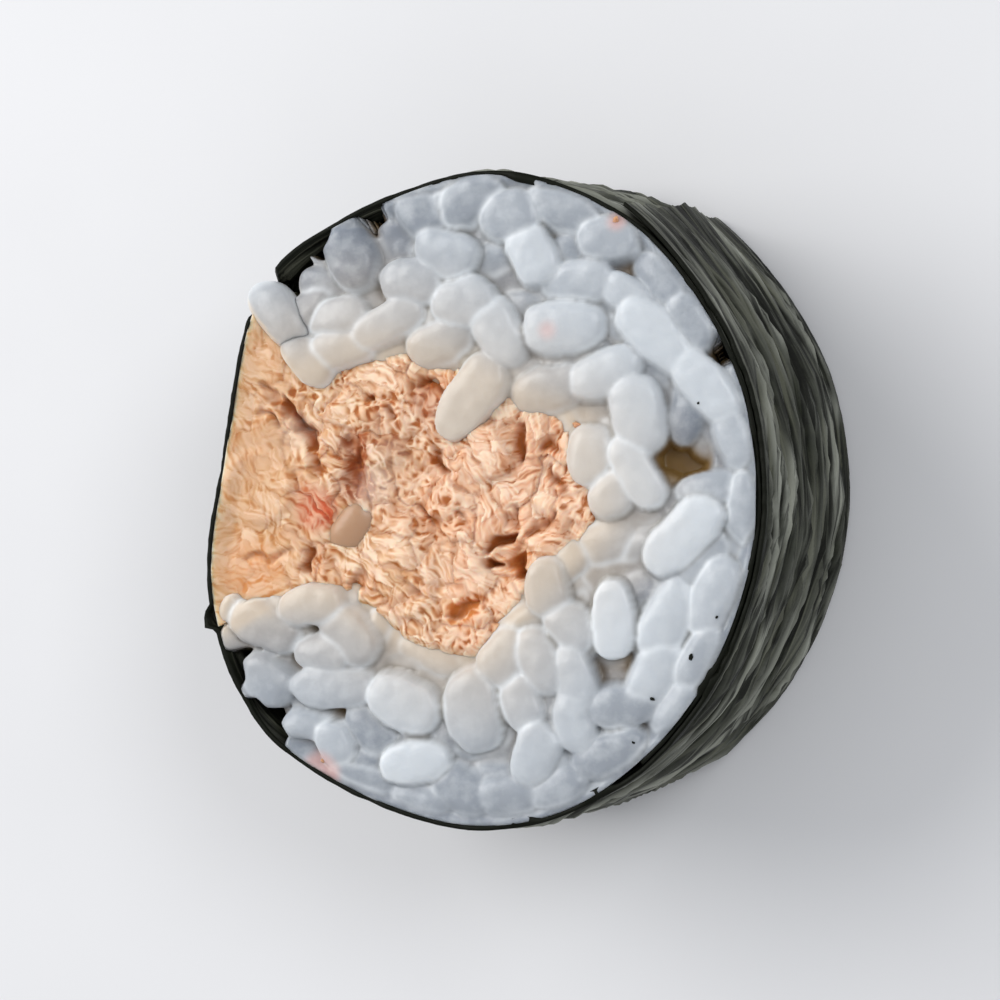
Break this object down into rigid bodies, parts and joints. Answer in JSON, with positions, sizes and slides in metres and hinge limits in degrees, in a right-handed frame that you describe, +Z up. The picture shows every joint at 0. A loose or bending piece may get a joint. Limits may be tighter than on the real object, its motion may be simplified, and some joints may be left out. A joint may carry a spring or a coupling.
{
  "type": "tuna maki",
  "caption": "Cut piece of a sushi roll standing on its cut face: a nori sheet round sushi rice, with an off-centre filling of flaked tuna that reaches the nori.",
  "frame": {"origin": "middle of the bounding box seen from above, at the level of the lower cut face", "axes": "+Z up along the roll's axis, from the lower cut to the upper one, +Y the picture's up, and the filling reaches the nori on the -X side"},
  "size_m": [0.0444, 0.0492, 0.0259],
  "materials": {
    "nori": "thin dark green-black dried seaweed sheet, satin, finely crinkled",
    "rice": "moist translucent grains, soft gloss",
    "tuna": "moist pinkish-tan flakes, satin"
  },
  "bodies": {
    "root": {"nori": "nori", "rice": "rice", "tuna": "tuna"}
  },
  "joints": []
}
